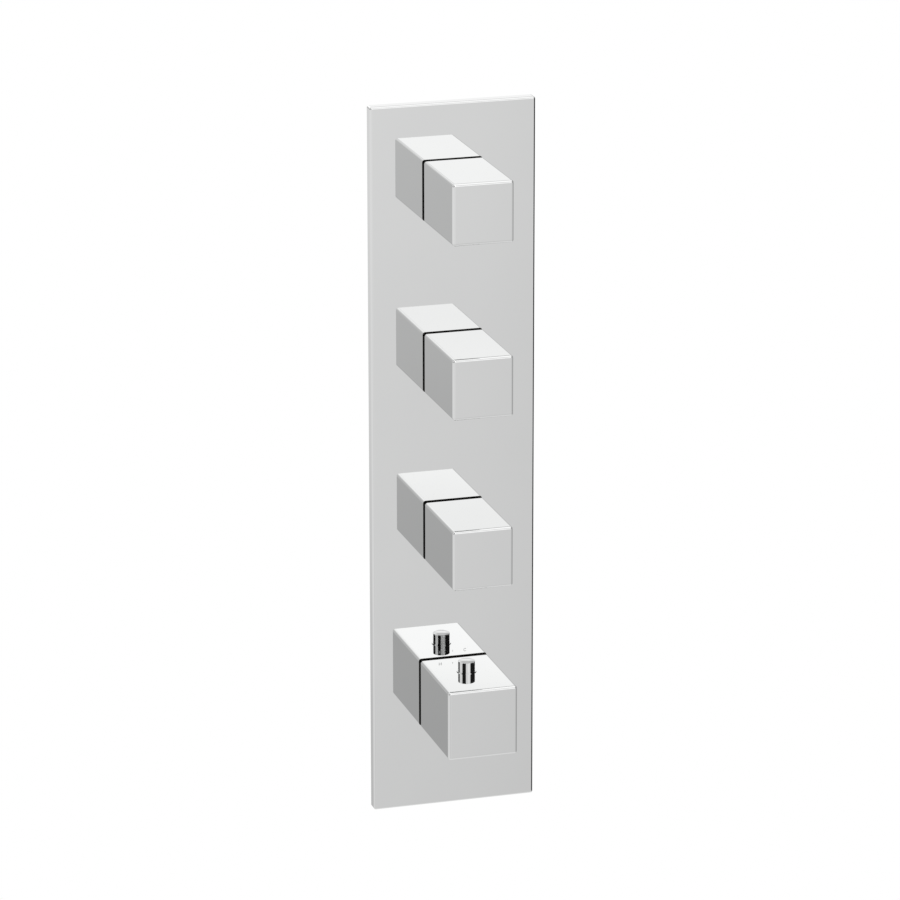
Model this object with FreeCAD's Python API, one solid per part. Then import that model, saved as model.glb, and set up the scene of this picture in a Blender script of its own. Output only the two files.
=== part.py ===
import FreeCAD, Part
import math
import os

# Concealed thermostatic shower valve: a tall slab of a cover plate, three square flow
# handles above one larger square temperature handle, and the brass valve body behind it.
# Millimetres. X runs to the right seen from the front, Y runs into the wall, Z runs up.
# The origin is the centre of the cover plate's back face, which lies on the finished wall.

# ---- Driving dimensions: cover plate -------------------------------------------------
plate_width = 111.0
plate_height = 480.0
plate_thickness = 7.5
plate_skin = 4.0
plate_rim = 4.0
plate_rib = 2.5
plate_hole_wall = 3.0
edge_round = 1.5
seal_width = 2.0
seal_depth = 1.5

# ---- Driving dimensions: where the controls stand ------------------------------------
top_margin = 57.5
flow_spacing = 115.0
temperature_spacing = 113.0

# ---- Driving dimensions: handles -----------------------------------------------------
flow_side = 40.5
flow_gap = 2.0
flow_reach = 67.0
temperature_side = 47.0
temperature_gap = 2.0
temperature_reach = 67.0
handle_round = 1.8
handle_back_round = 0.4
handle_wall = 3.0
handle_front_wall = 4.0
handle_rib = 3.0
hub_radius = 10.5
insert_flats = 14.0
drive_side = 7.0
drive_length = 26.0
grub_radius = 2.5
grub_length = 8.0

# ---- Driving dimensions: safety button in the temperature handle ---------------------
button_radius = 5.6
button_height = 7.5
button_reach = 29.2
button_crown = 0.35
button_bevel = 0.4
button_travel = 3.0
button_flange = 2.2
button_pin_radius = 3.0
button_ring_wall = 0.95
button_ring_proud = 0.4
latch_thickness = 2.8
latch_width = 6.0
button_wire = 0.8

# ---- Driving dimensions: flow headworks ----------------------------------------------
body_recess = 8.0
chamber_radius = 12.0
chamber_length = 40.0
chamber_wall = 5.0
seat_radius = 7.0
seat_seal_thickness = 1.5
disc_radius = 8.4
disc_thickness = 3.0
disc_web = 2.2
disc_land = 1.8
disc_window_angle = 80.0
driver_length = 6.5
driver_thickness = 6.0
tongue_width = 3.0
tongue_depth = 1.4
collar_thickness = 3.8
stem_radius = 4.5
nose_wall = 2.0
nose_length = 20.5
flange_flats = 27.0
flange_thickness = 6.0
plate_nut_height = 5.0
plate_nut_wall = 4.4
stem_seal_wall = 2.5
stem_seal_length = 3.0

# ---- Driving dimensions: thermostatic cartridge --------------------------------------
thermostat_radius = 20.0
thermostat_step = 12.0
thermostat_wall = 7.0
sleeve_radius = 17.0
sleeve_bore = 13.0
sleeve_length = 46.0
sleeve_end_web = 2.0
thermostat_neck = 17.0
thermostat_nut_wall = 2.8
thermostat_flats = 44.0
thermostat_flange = 5.0
stop_neck = 13.0
stop_ring_height = 4.0
stop_ledge_height = 9.4
stop_ledge_wall = 1.2
screw_radius = 8.0
screw_length = 16.0
nut_flats = 21.0
nut_length = 24.0
spool_length = 8.0
spool_wall = 1.35
spool_web = 2.5
spool_hub = 8.6
capsule_radius = 5.5
capsule_length = 19.0
piston_radius = 2.0
spring_wire = 1.4
coil_steps_per_turn = 10
hottest_turn = 60.0
coldest_turn = 150.0
screw_lead = 6.0

# ---- Driving dimensions: brass body, inlets, outlets and rail ------------------------
gallery_depth = 66.0
gallery_bore = 9.0
gallery_wall = 4.0
outlet_depth = 36.0
outlet_reach = 46.0
outlet_thread_radius = 9.32
outlet_thread_length = 14.0
outlet_passage = 7.5
outlet_wall = 5.2
inlet_offset = 25.5
inlet_depth = 42.0
inlet_drop = 61.5
inlet_thread_radius = 12.06
inlet_thread_length = 16.0
inlet_wall = 3.94
check_radius = 10.0
check_length = 30.0
port_radius = 4.5
hot_port_depth = 36.0
cold_port_depth = 48.0
port_groove = 3.0
port_groove_side = 0.6
ear_offset = 20.0
ear_radius = 7.0
ear_thickness = 7.0
ear_shift = 24.0
rail_half_width = 29.0
rail_thickness = 2.0
rail_lip = 8.0
rail_overhang = 25.0
wall_hole_offset = 22.0
wall_hole_radius = 2.75
rail_screw_radius = 2.5
rail_screw_head = 4.3
plug_flats = 20.0
plug_head = 6.0
plug_length = 12.0

# ---- Named clearances ----------------------------------------------------------------
running_fit = 0.05
seat_fit = 0.02
slip_fit = 0.1
open_gap = 0.5
hand_gap = 1.0

# ---- Places that follow from the driving dimensions ----------------------------------
plate_front = -plate_thickness
upper_z = plate_height / 2 - top_margin
middle_z = upper_z - flow_spacing
lower_z = middle_z - flow_spacing
temperature_z = lower_z - temperature_spacing
flow_stations = {"upper": upper_z, "middle": middle_z, "lower": lower_z}

# flow headwork, from the seat in the body forwards to the handle
seat_y = body_recess + chamber_length
fixed_disc_back = seat_y - seat_seal_thickness
fixed_disc_front = fixed_disc_back - disc_thickness
turning_disc_back = fixed_disc_front - seat_fit
turning_disc_front = turning_disc_back - disc_thickness
driver_front = turning_disc_front - driver_length
collar_front = driver_front - collar_thickness
cavity_front = collar_front - seat_fit
nose_front = fixed_disc_back - nose_length
flange_front = body_recess - flange_thickness
flow_neck = chamber_radius
flow_nut_front = plate_front - plate_nut_height
flow_neck_front = flow_nut_front - open_gap
flow_drive_back = flow_neck_front - hand_gap
flow_drive_front = flow_drive_back - drive_length

# thermostatic cartridge, from the floor of its chamber forwards to the handle
sleeve_front = body_recess + thermostat_step
sleeve_back = sleeve_front + sleeve_length
thermostat_floor = sleeve_back + 2 * hand_gap
thermostat_flange_front = body_recess - thermostat_flange
thermostat_nut_front = plate_front - plate_nut_height
stop_ring_back = thermostat_nut_front - slip_fit
stop_ring_front = stop_ring_back - stop_ring_height
stop_ledge_front = stop_ring_front - stop_ledge_height
thermostat_neck_front = stop_ring_front - open_gap
temperature_drive_back = thermostat_neck_front - hand_gap
temperature_drive_front = temperature_drive_back - drive_length
hot_travel = screw_lead * hottest_turn / 360
cold_travel = screw_lead * coldest_turn / 360
spindle_collar_back = 0.0
spindle_collar_front = spindle_collar_back - collar_thickness
screw_back = spindle_collar_back + screw_length
nut_front = spindle_collar_back + cold_travel + 1.5 * hand_gap
nut_floor = screw_back + cold_travel + 1.5 * hand_gap
nut_floor_thickness = 2.0
nut_back = nut_front + nut_length
spool_middle = (hot_port_depth + cold_port_depth) / 2
spool_front = spool_middle - spool_length / 2
spool_back = spool_middle + spool_length / 2
spool_web_front = spool_middle - spool_web / 2
spool_web_back = spool_middle + spool_web / 2
capsule_flange_thickness = 2.6
capsule_flange_front = spool_web_front - capsule_flange_thickness
capsule_back = spool_web_front + capsule_length

# brass body
gallery_radius = gallery_bore + gallery_wall
gallery_top = upper_z + chamber_radius + chamber_wall + 3 * hand_gap
rail_front = gallery_depth + gallery_radius + open_gap
rail_back = rail_front + rail_thickness
inlet_mouth = temperature_z - inlet_drop
inlet_radius = inlet_thread_radius + inlet_wall
check_mouth = inlet_mouth + inlet_thread_length
check_top = check_mouth + check_length
upper_span = (upper_z + middle_z) / 2
lower_span = (middle_z + lower_z) / 2
ear_heights = [upper_span - ear_shift, lower_span - ear_shift]
wall_hole_heights = [upper_span, lower_span]


# ---- Shape helpers -------------------------------------------------------------------
def at(x, y, z):
    return FreeCAD.Vector(x, y, z)


def rod_x(radius, start, end, y, z):
    return Part.makeCylinder(radius, end - start, at(start, y, z), at(1, 0, 0))


def rod_y(radius, start, end, x=0.0, z=0.0):
    return Part.makeCylinder(radius, end - start, at(x, start, z), at(0, 1, 0))


def rod_z(radius, start, end, x=0.0, y=0.0):
    return Part.makeCylinder(radius, end - start, at(x, y, start), at(0, 0, 1))


def block(x_low, x_high, y_low, y_high, z_low, z_high):
    return Part.makeBox(x_high - x_low, y_high - y_low, z_high - z_low, at(x_low, y_low, z_low))


def turned_y(outline):
    """A solid turned about the Y axis from a closed outline of (radius, depth) points."""
    points = [at(radius, depth, 0) for radius, depth in outline]
    face = Part.Face(Part.makePolygon(points + points[:1]))
    return face.revolve(at(0, 0, 0), at(0, 1, 0), 360)


def turned_z(outline):
    """A solid turned about the Z axis from a closed outline of (radius, height) points."""
    points = [at(radius, 0, height) for radius, height in outline]
    face = Part.Face(Part.makePolygon(points + points[:1]))
    return face.revolve(at(0, 0, 0), at(0, 0, 1), 360)


def ring_y(outer, inner, start, end):
    return turned_y([(inner, start), (outer, start), (outer, end), (inner, end)])


def ring_z(outer, inner, start, end):
    return turned_z([(inner, start), (outer, start), (outer, end), (inner, end)])


def bar_y(sides, flats, start, end):
    """A regular bar along Y, measured across its flats, with a flat facing up and down."""
    corner = flats / 2 / math.cos(math.pi / sides)
    turn = math.pi / 2 - math.pi / sides
    points = []
    for index in range(sides):
        angle = turn + 2 * math.pi * index / sides
        points.append(at(corner * math.cos(angle), start, corner * math.sin(angle)))
    face = Part.Face(Part.makePolygon(points + points[:1]))
    return face.extrude(at(0, end - start, 0))


def sector_y(inner, outer, start, end, middle_angle, width_angle):
    """A piece of a ring about Y. Angles are degrees, turning left from the top seen from the front."""
    def spot(radius, degrees):
        angle = math.radians(degrees)
        return at(-radius * math.sin(angle), start, radius * math.cos(angle))
    low = middle_angle - width_angle / 2
    high = middle_angle + width_angle / 2
    outer_arc = Part.Arc(spot(outer, low), spot(outer, middle_angle), spot(outer, high)).toShape()
    inner_arc = Part.Arc(spot(inner, high), spot(inner, middle_angle), spot(inner, low)).toShape()
    first_side = Part.makeLine(spot(outer, high), spot(inner, high))
    last_side = Part.makeLine(spot(inner, low), spot(outer, low))
    wire = Part.Wire([outer_arc, first_side, inner_arc, last_side])
    return Part.Face(wire).extrude(at(0, end - start, 0))


def flat_face(points):
    return Part.Face(Part.makePolygon(points + points[:1]))


def rounded_in_front(solid, radius, back):
    """Round every edge of a block except the ones that lie in its back face."""
    edges = [edge for edge in solid.Edges if edge.BoundBox.YMin < back - radius]
    return solid.makeFillet(radius, edges)


def rounded_behind(solid, radius, back):
    """Round only the edges that lie in the back face."""
    edges = [edge for edge in solid.Edges if edge.BoundBox.YMin > back - radius / 2]
    return solid.makeFillet(radius, edges)


def joined(pieces):
    whole = pieces[0]
    for piece in pieces[1:]:
        whole = whole.fuse(piece)
    return whole.removeSplitter()


def cut_by(solid, tools):
    for tool in tools:
        solid = solid.cut(tool)
    return solid


def placed(solid, x, y, z):
    copy = solid.copy()
    copy.translate(at(x, y, z))
    return copy


def coil_z(middle_radius, wire, low, high, turns):
    """A coil spring along Z in square wire: one closed tube of flat facets along a helix."""
    steps = turns * coil_steps_per_turn
    half = wire / 2
    sections = []
    for step in range(steps + 1):
        angle = 2 * math.pi * step / coil_steps_per_turn
        height = low + half + (high - low - wire) * step / steps
        corners = []
        for side, lift in ((-half, -half), (half, -half), (half, half), (-half, half)):
            radius = middle_radius + side
            corners.append(at(radius * math.cos(angle), radius * math.sin(angle), height + lift))
        sections.append(corners)
    facets = [flat_face(sections[0]), flat_face(sections[-1])]
    for here, ahead in zip(sections, sections[1:]):
        for corner in range(4):
            following = (corner + 1) % 4
            facets.append(flat_face([here[corner], here[following], ahead[following]]))
            facets.append(flat_face([here[corner], ahead[following], ahead[corner]]))
    solid = Part.Solid(Part.Shell(facets))
    if solid.Volume < 0:
        solid.reverse()
    return solid


def coil_y(middle_radius, wire, low, high, turns):
    """The same coil spring, laid along Y."""
    spring = coil_z(middle_radius, wire, low, high, turns)
    spring.rotate(at(0, 0, 0), at(1, 0, 0), -90)
    return spring


def write(name, pieces):
    """Write one sub-part: a single solid, or a group of like solids."""
    shape = pieces[0] if len(pieces) == 1 else Part.makeCompound(pieces)
    shape.exportStep("parts/" + name + ".step")
    good = all(len(piece.Solids) == 1 and piece.isValid() for piece in pieces)
    state = "ok" if good else "CHECK THIS SHAPE"
    print(f"{name}: {len(pieces)} solid(s), {shape.Volume / 1000:.2f} cm3, {state}")


# ---- Cover plate ---------------------------------------------------------------------
def hole_radius(station):
    neck = thermostat_neck if station == "temperature" else flow_neck
    return neck + open_gap


all_stations = dict(flow_stations, temperature=temperature_z)


def cover_plate():
    half_x = plate_width / 2
    half_z = plate_height / 2
    plate = block(-half_x, half_x, plate_front, 0, -half_z, half_z)
    plate = rounded_in_front(plate, edge_round, 0.0)
    inner_x = half_x - plate_rim
    inner_z = half_z - plate_rim
    hollow = block(-inner_x, inner_x, plate_front + plate_skin, hand_gap, -inner_z, inner_z)
    islands = []
    for station, height in all_stations.items():
        wall = hole_radius(station) + plate_hole_wall
        islands.append(rod_y(wall, plate_front + plate_skin, hand_gap, z=height))
    for height in (upper_span, lower_span, (lower_z + temperature_z) / 2):
        rib_low = height - plate_rib / 2
        rib_high = height + plate_rib / 2
        islands.append(block(-inner_x, inner_x, plate_front, hand_gap, rib_low, rib_high))
    plate = plate.cut(cut_by(hollow, islands))
    holes = [
        rod_y(hole_radius(station), plate_front - hand_gap, hand_gap, z=height)
        for station, height in all_stations.items()
    ]
    plate = cut_by(plate, holes)
    return plate.cut(seal_frame(0.0, seal_depth + hand_gap))


def seal_frame(fit, length):
    """The frame that the wall seal fills in the plate's rim, ending length behind its floor."""
    middle_x = plate_width / 2 - plate_rim / 2
    middle_z = plate_height / 2 - plate_rim / 2
    outer = seal_width / 2 - fit
    outer_x = middle_x + outer
    outer_z = middle_z + outer
    inner_x = middle_x - outer
    inner_z = middle_z - outer
    whole = block(-outer_x, outer_x, -seal_depth, -seal_depth + length, -outer_z, outer_z)
    window = block(-inner_x, inner_x, -seal_depth, -seal_depth + length, -inner_z, inner_z)
    return whole.cut(window)


def plate_seal():
    return seal_frame(seat_fit, seal_depth)


def plate_nut(neck, wall, front):
    return ring_y(neck + wall, neck + seat_fit, front, plate_front)


# ---- Block handles -------------------------------------------------------------------
def handle_shell(side, gap, reach, drive_back, drive_front, rib_back, with_top_rib):
    back = plate_front - gap
    front = plate_front - reach
    half = side / 2
    shell = block(-half, half, front, back, -half, half)
    shell = rounded_in_front(shell, handle_round, back)
    shell = rounded_behind(shell, handle_back_round, back)
    inner = half - handle_wall
    wall_front = front + handle_front_wall
    hollow = block(-inner, inner, wall_front, back + hand_gap, -inner, inner)
    hub_back = drive_back - 4 * hand_gap
    rib = handle_rib / 2
    grub_rib = grub_radius + handle_rib / 2
    kept = [
        rod_y(hub_radius, wall_front, hub_back),
        block(-inner, inner, wall_front, rib_back, -rib, rib),
        block(-grub_rib, grub_rib, wall_front, rib_back, -inner, 0),
    ]
    if with_top_rib:
        kept.append(block(-rib, rib, wall_front, rib_back, 0, inner))
    shell = shell.cut(cut_by(hollow, kept))
    socket_floor = drive_front - 2 * hand_gap
    socket = bar_y(6, insert_flats + 2 * slip_fit, socket_floor, hub_back + hand_gap)
    grub_hole = rod_z(grub_radius, -half - hand_gap, 0, y=grub_depth(drive_back, drive_front))
    return cut_by(shell, [socket, grub_hole])


def grub_depth(drive_back, drive_front):
    """How deep along the drive the handle's grub screw stands."""
    return (drive_back + drive_front) / 2 - 3 * hand_gap


def flow_handle():
    rib_back = flow_drive_back - 6 * hand_gap
    return handle_shell(
        flow_side, flow_gap, flow_reach, flow_drive_back, flow_drive_front, rib_back, True
    )


def handle_insert(drive_back, drive_front):
    sleeve = bar_y(6, insert_flats, drive_front - hand_gap, drive_back - hand_gap)
    return sleeve.cut(bar_y(4, drive_side + 2 * slip_fit, drive_front, drive_back))


def grub_screw(drive_back, drive_front):
    flat = -insert_flats / 2
    depth = grub_depth(drive_back, drive_front)
    screw = rod_z(grub_radius - seat_fit, flat - grub_length, flat, y=depth)
    key = bar_y(6, grub_radius, 0, grub_length / 3)
    key.rotate(at(0, 0, 0), at(1, 0, 0), 90)
    key.translate(at(0, depth, flat - grub_length))
    return screw.cut(key)


# ---- Flow headworks ------------------------------------------------------------------
def flow_bonnet():
    nose = disc_radius + nose_wall
    bore = stem_radius + running_fit
    seal = stem_radius + stem_seal_wall
    seal_floor = flow_neck_front + stem_seal_length + open_gap
    barrel = chamber_radius - seat_fit
    shell = turned_y([
        (disc_radius, fixed_disc_back), (nose, fixed_disc_back), (nose, nose_front),
        (barrel, nose_front), (barrel, body_recess), (flow_neck, flange_front),
        (flow_neck, flow_neck_front), (seal, flow_neck_front), (seal, seal_floor),
        (bore, seal_floor), (bore, cavity_front), (disc_radius, cavity_front),
    ])
    flange = bar_y(6, flange_flats, flange_front, body_recess)
    flange = flange.cut(rod_y(bore, flange_front, body_recess))
    window_half = disc_radius * 0.6
    window = block(
        -nose - hand_gap, nose + hand_gap, driver_front, turning_disc_front,
        -window_half, window_half,
    )
    return joined([shell, flange]).cut(window)


def ceramic_disc(front, back, first_window):
    """A ceramic disc with two windows opposite each other, the first at the given angle."""
    disc = rod_y(disc_radius - seat_fit, front, back)
    outer = disc_radius - disc_land
    windows = [
        sector_y(disc_web, outer, front, back, first_window + turn, disc_window_angle)
        for turn in (0, 180)
    ]
    return cut_by(disc, windows)


def fixed_disc():
    return ceramic_disc(fixed_disc_front, fixed_disc_back, 90.0)


def turning_disc():
    disc = ceramic_disc(turning_disc_front, turning_disc_back, 0.0)
    half = tongue_width / 2 + slip_fit
    depth = turning_disc_front + tongue_depth + slip_fit
    slot = block(-disc_radius, disc_radius, turning_disc_front, depth, -half, half)
    return disc.cut(slot)


def seat_seal():
    return ring_y(disc_radius + nose_wall, seat_radius, fixed_disc_back, seat_y)


def flow_spindle():
    turned = turned_y([
        (0, flow_drive_back), (stem_radius, flow_drive_back), (stem_radius, collar_front),
        (disc_radius - running_fit, collar_front), (disc_radius - running_fit, driver_front),
        (0, driver_front),
    ])
    reach = disc_radius - running_fit
    half = driver_thickness / 2
    driver = block(-reach, reach, driver_front, turning_disc_front, -half, half)
    tongue = block(
        -reach, reach, turning_disc_front, turning_disc_front + tongue_depth,
        -tongue_width / 2, tongue_width / 2,
    )
    foot = driver.fuse(tongue)
    foot = foot.common(rod_y(reach, driver_front, turning_disc_front + tongue_depth))
    drive = bar_y(4, drive_side, flow_drive_front, flow_drive_back)
    return joined([turned, foot, drive])


def stem_seal(stem, front):
    start = front + open_gap
    return ring_y(stem + stem_seal_wall - seat_fit, stem + seat_fit, start, start + stem_seal_length)


# ---- Thermostatic cartridge ----------------------------------------------------------
temperature_stem = stem_radius + 1.5


def thermostat_bonnet():
    barrel = thermostat_radius - seat_fit
    bore = temperature_stem + running_fit
    seal = temperature_stem + stem_seal_wall
    seal_floor = thermostat_neck_front + stem_seal_length + open_gap
    shell = turned_y([
        (bore, sleeve_front), (barrel, sleeve_front), (barrel, body_recess),
        (thermostat_neck, thermostat_flange_front), (thermostat_neck, stop_ring_back),
        (stop_neck, stop_ring_back), (stop_neck, thermostat_neck_front),
        (seal, thermostat_neck_front), (seal, seal_floor), (bore, seal_floor),
    ])
    flange = bar_y(6, thermostat_flats, thermostat_flange_front, body_recess)
    flange = flange.cut(rod_y(bore, thermostat_flange_front, body_recess))
    guide_front = spindle_collar_front - seat_fit
    guide = bar_y(6, nut_flats + 2 * slip_fit, guide_front, sleeve_front)
    return joined([shell, flange]).cut(guide)


def stop_ring():
    """The ring that carries the temperature stops, with its ledges standing towards the handle."""
    outer = thermostat_neck + thermostat_nut_wall
    ring = ring_y(outer, stop_neck + seat_fit, stop_ring_front, stop_ring_back)
    ledge = outer - stop_ledge_wall
    toe = math.degrees(math.asin(latch_width / 2 / ledge)) + 1.0
    safe_stop = sector_y(ledge, outer, stop_ledge_front, stop_ring_front, toe + 6.0, 12.0)
    end_low = hottest_turn + toe
    end_high = 360 - coldest_turn - toe
    middle = (end_low + end_high) / 2
    end_stop = sector_y(ledge, outer, stop_ledge_front, stop_ring_front, middle, end_high - end_low)
    return joined([ring, safe_stop, end_stop])


def temperature_spindle():
    turned = turned_y([
        (0, temperature_drive_back), (temperature_stem, temperature_drive_back),
        (temperature_stem, spindle_collar_front), (screw_radius + 2, spindle_collar_front),
        (screw_radius + 2, spindle_collar_back), (screw_radius, spindle_collar_back),
        (screw_radius, screw_back), (0, screw_back),
    ])
    drive = bar_y(4, drive_side, temperature_drive_front, temperature_drive_back)
    return joined([turned, drive])


def regulating_nut():
    nut = bar_y(6, nut_flats, nut_front, nut_back)
    thread = rod_y(screw_radius + running_fit, nut_front, nut_floor)
    cup = rod_y(screw_radius, nut_floor + nut_floor_thickness, nut_back)
    return cut_by(nut, [thread, cup])


def mixing_sleeve():
    outer = sleeve_radius - seat_fit
    end_front = sleeve_back - sleeve_end_web
    sleeve = turned_y([
        (sleeve_bore, sleeve_front), (outer, sleeve_front), (outer, sleeve_back),
        (capsule_radius + 1, sleeve_back), (capsule_radius + 1, end_front),
        (sleeve_bore, end_front),
    ])
    cuts = []
    for port_front, port_back in (
        (spool_front - 4, spool_front + 2),
        (spool_back - 2, spool_back + 4),
    ):
        for middle in (0, 90, 180, 270):
            cuts.append(sector_y(sleeve_bore - 1, outer + 1, port_front, port_back, middle, 50.0))
    for middle in (45, 135, 225, 315):
        cuts.append(sector_y(sleeve_bore - 3, sleeve_bore, end_front, sleeve_back, middle, 60.0))
    return cut_by(sleeve, cuts)


def wax_element():
    """The wax capsule, its flange on the spool, and the piston that bears on the overload spring."""
    head_front = nut_back - spring_wire
    return turned_y([
        (0, head_front), (screw_radius - running_fit, head_front),
        (screw_radius - running_fit, nut_back), (piston_radius, nut_back),
        (piston_radius, capsule_flange_front - 4), (capsule_radius - 1.5, capsule_flange_front - 4),
        (capsule_radius - 1.5, capsule_flange_front), (capsule_radius + 1.7, capsule_flange_front),
        (capsule_radius + 1.7, spool_web_front), (capsule_radius, spool_web_front),
        (capsule_radius, capsule_back), (0, capsule_back),
    ])


def mixing_spool():
    outer = sleeve_bore - running_fit
    inner = outer - spool_wall
    hole = capsule_radius + seat_fit
    spool = turned_y([
        (hole, spool_web_front), (inner, spool_web_front), (inner, spool_front),
        (outer, spool_front), (outer, spool_back), (inner, spool_back),
        (inner, spool_web_back), (hole, spool_web_back),
    ])
    windows = [
        sector_y(spool_hub, inner - 0.2, spool_web_front, spool_web_back, middle, 60.0)
        for middle in (45, 135, 225, 315)
    ]
    return cut_by(spool, windows)


def overload_spring():
    low = nut_floor + nut_floor_thickness
    high = nut_back - spring_wire
    return coil_y(screw_radius - spring_wire, spring_wire * 0.7, low, high, 2)


def return_spring():
    low = spool_web_back
    high = sleeve_back - sleeve_end_web
    return coil_y(capsule_radius + 0.9 + spring_wire / 2, spring_wire, low, high, 5)


# ---- Safety button in the temperature handle -----------------------------------------
button_depth = plate_front - button_reach
handle_top = temperature_side / 2
button_flange_top = handle_top - handle_wall - seat_fit
latch_top = button_flange_top - button_flange
latch_bottom = latch_top - latch_thickness
spring_floor = insert_flats / 2 + 2.0
button_ring_outer = button_radius + button_ring_wall


def temperature_handle():
    rib_back = stop_ledge_front - hand_gap
    shell = handle_shell(
        temperature_side, temperature_gap, temperature_reach,
        temperature_drive_back, temperature_drive_front, rib_back, False,
    )
    button_hole = rod_z(button_ring_outer + seat_fit, latch_top, handle_top + hand_gap, y=button_depth)
    spring_pocket = rod_z(
        button_pin_radius + 2 * button_wire, spring_floor, latch_top, y=button_depth
    )
    return cut_by(shell, [button_hole, spring_pocket])


def button_ring():
    ring = ring_z(
        button_ring_outer, button_radius + running_fit,
        handle_top - handle_wall, handle_top + button_ring_proud,
    )
    return placed(ring, 0, button_depth, 0)


def safety_button():
    flange = button_ring_outer - running_fit
    bevel = button_bevel
    top = handle_top + button_height
    button = turned_z([
        (0, latch_bottom), (button_pin_radius, latch_bottom), (button_pin_radius, latch_top),
        (flange, latch_top), (flange, button_flange_top), (button_radius, button_flange_top),
        (button_radius, top - bevel), (button_radius - bevel, top), (0, top),
    ])
    crown_radius = (button_radius ** 2 + button_crown ** 2) / 2 / button_crown
    dome = Part.makeSphere(crown_radius, at(0, 0, top - crown_radius))
    return placed(button.common(dome), 0, button_depth, 0)


def stop_latch():
    """The arm under the button that carries the toe back to the stop ring."""
    toe_back = stop_ring_front - 4.5 * hand_gap
    half = latch_width / 2
    pad = rod_z(button_ring_outer - running_fit, latch_bottom, latch_top, y=button_depth)
    arm = block(-half, half, button_depth, toe_back, latch_bottom, latch_top)
    pin_hole = rod_z(button_pin_radius + seat_fit, latch_bottom, latch_top, y=button_depth)
    return joined([pad, arm]).cut(pin_hole)


def button_spring():
    spring = coil_z(button_pin_radius, button_wire, spring_floor, latch_bottom, 3)
    return placed(spring, 0, button_depth, 0)


# ---- Brass body ----------------------------------------------------------------------
def valve_body():
    bottom = temperature_z
    chamber_outer = chamber_radius + chamber_wall
    thermostat_outer = thermostat_radius + thermostat_wall
    solids = [
        rod_z(gallery_radius, bottom - gallery_radius, gallery_top, y=gallery_depth),
        rod_y(thermostat_outer, body_recess, thermostat_floor + gallery_wall, z=bottom),
    ]
    for height in flow_stations.values():
        solids.append(rod_y(chamber_outer, body_recess, gallery_depth, z=height))
        outlet_outer = outlet_thread_radius + outlet_wall
        solids.append(rod_x(outlet_outer, 0, outlet_reach, outlet_depth, height))
    for side in (-1, 1):
        top = bottom + inlet_thread_radius
        solids.append(
            rod_z(inlet_radius, inlet_mouth, top, x=side * inlet_offset, y=inlet_depth)
        )
    ear_front = rail_front - ear_thickness
    for height in ear_heights:
        web = ear_radius - 2
        solids.append(
            block(-ear_offset, ear_offset, ear_front, rail_front, height - web, height + web)
        )
        for side in (-1, 1):
            solids.append(rod_y(ear_radius, ear_front, rail_front, x=side * ear_offset, z=height))
    return cut_by(joined(solids), body_waterways())


def body_waterways():
    """Everything that is bored out of the brass body."""
    bottom = temperature_z
    bores = [
        rod_z(gallery_bore, bottom, gallery_top + hand_gap, y=gallery_depth),
        rod_y(thermostat_radius, body_recess - hand_gap, sleeve_front, z=bottom),
        rod_y(sleeve_radius, sleeve_front, thermostat_floor, z=bottom),
    ]
    for height in flow_stations.values():
        bores.append(rod_y(chamber_radius, body_recess - hand_gap, seat_y, z=height))
        bores.append(rod_y(seat_radius, seat_y, gallery_depth, z=height))
        thread_start = outlet_reach - outlet_thread_length
        bores.append(rod_x(outlet_passage, 0, thread_start, outlet_depth, height))
        bores.append(
            rod_x(outlet_thread_radius, thread_start, outlet_reach + hand_gap, outlet_depth, height)
        )
    for side, port_depth in ((-1, hot_port_depth), (1, cold_port_depth)):
        x = side * inlet_offset
        groove_front = port_depth - port_radius - port_groove_side
        groove_back = port_depth + port_radius + port_groove_side
        groove = ring_y(sleeve_radius + port_groove, sleeve_radius - 1, groove_front, groove_back)
        bores.append(placed(groove, 0, 0, bottom))
        bores.append(
            rod_z(inlet_thread_radius, inlet_mouth - hand_gap, check_mouth, x=x, y=inlet_depth)
        )
        bores.append(rod_z(check_radius, check_mouth, check_top, x=x, y=inlet_depth))
        bores.append(rod_z(port_radius, check_top, bottom, x=x, y=inlet_depth))
        port_end = side * (sleeve_radius + port_groove / 2)
        port_low = min(x, port_end)
        port_high = max(x, port_end)
        bores.append(rod_x(port_radius, port_low, port_high, port_depth, bottom))
    for height in ear_heights:
        for side in (-1, 1):
            hole = rod_y(
                rail_screw_radius + slip_fit, 0, rail_front + hand_gap,
                x=side * ear_offset, z=height,
            )
            bores.append(hole)
    return bores


def gallery_plug():
    head = bar_y(6, plug_flats, 0, plug_head)
    head.rotate(at(0, 0, 0), at(1, 0, 0), 90)
    head.translate(at(0, gallery_depth, gallery_top))
    shank = rod_z(gallery_bore - seat_fit, gallery_top - plug_length, gallery_top, y=gallery_depth)
    return joined([head, shank])


def mounting_rail():
    low = min(ear_heights) - rail_overhang
    high = max(wall_hole_heights) + rail_overhang
    half = rail_half_width
    lip_front = rail_back - rail_lip
    web = block(-half, half, rail_front, rail_back, low, high)
    lips = [
        block(-half, -half + rail_thickness, lip_front, rail_back, low, high),
        block(half - rail_thickness, half, lip_front, rail_back, low, high),
    ]
    holes = []
    for height in ear_heights:
        for side in (-1, 1):
            holes.append(
                rod_y(rail_screw_radius, rail_front - 1, rail_back + 1, side * ear_offset, height)
            )
    for height in wall_hole_heights:
        for side in (-1, 1):
            holes.append(
                rod_y(wall_hole_radius, rail_front - 1, rail_back + 1, side * wall_hole_offset, height)
            )
    return cut_by(joined([web] + lips), holes)


def rail_screws():
    head_back = rail_front - ear_thickness
    head_front = head_back - 2 * rail_screw_radius + open_gap
    screws = []
    for height in ear_heights:
        for side in (-1, 1):
            screw = turned_y([
                (0, head_front), (rail_screw_head, head_front), (rail_screw_head, head_back),
                (rail_screw_radius - seat_fit, head_back), (rail_screw_radius - seat_fit, rail_back),
                (0, rail_back),
            ])
            screws.append(placed(screw, side * ear_offset, 0, height))
    return screws


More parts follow.
